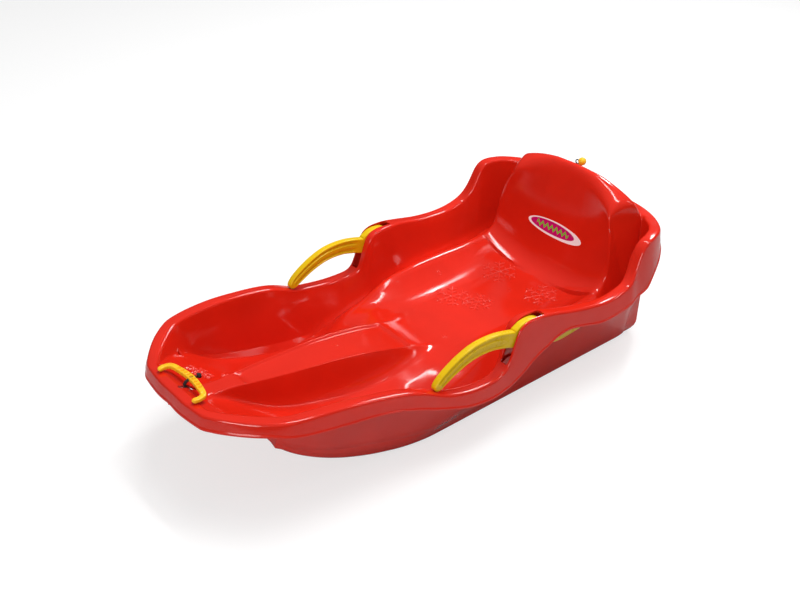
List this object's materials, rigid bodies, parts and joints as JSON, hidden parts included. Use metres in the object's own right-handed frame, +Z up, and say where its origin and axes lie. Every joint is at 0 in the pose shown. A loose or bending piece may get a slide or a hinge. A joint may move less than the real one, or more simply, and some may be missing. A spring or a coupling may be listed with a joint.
{
  "type": "bobsled",
  "caption": "Child's plastic bobsled: deep tub with a hump and a backrest on a smooth hull, hinged brake levers in the hand-holds and a pull handle on a cord.",
  "frame": {"origin": "centre of the outline on the ground that the runners stand on", "axes": "+X to the rider's left, the side nearest the camera; the front faces -Y; +Z up"},
  "size_m": [0.394, 0.803, 0.2628],
  "materials": {
    "red_plastic": "glossy moulded polyethylene",
    "brake_yellow": "satin moulded plastic",
    "handle_yellow": "satin moulded plastic",
    "steel": "drawn",
    "black_cord": "braided"
  },
  "bodies": {
    "sled": {"seat_shell": "red_plastic", "hull_shell": "red_plastic", "brake_pin_right": "steel", "brake_pin_left": "steel", "tow_cord": "black_cord", "cord_ball": "handle_yellow"},
    "brake_right": {"brake_lever_right": "brake_yellow"},
    "brake_left": {"brake_lever_left": "brake_yellow"},
    "tow": {"pull_handle": "handle_yellow", "cord_knot": "black_cord", "tow_cord_lead": "black_cord"}
  },
  "joints": [
    {"name": "brake_left_pivot", "type": "hinge", "parent": "sled", "child": "brake_left", "pos_m": [0.173, 0.0675, 0.137], "axis": [-1, 0, 0], "range_deg": [0, 55]},
    {"name": "brake_right_pivot", "type": "hinge", "parent": "sled", "child": "brake_right", "pos_m": [-0.173, 0.0675, 0.137], "axis": [-1, 0, 0], "range_deg": [0, 55]},
    {"name": "tow_pull", "type": "slide", "parent": "sled", "child": "tow", "axis": [0, -0.5, 0.866], "range_m": [0, 0.03]}
  ]
}
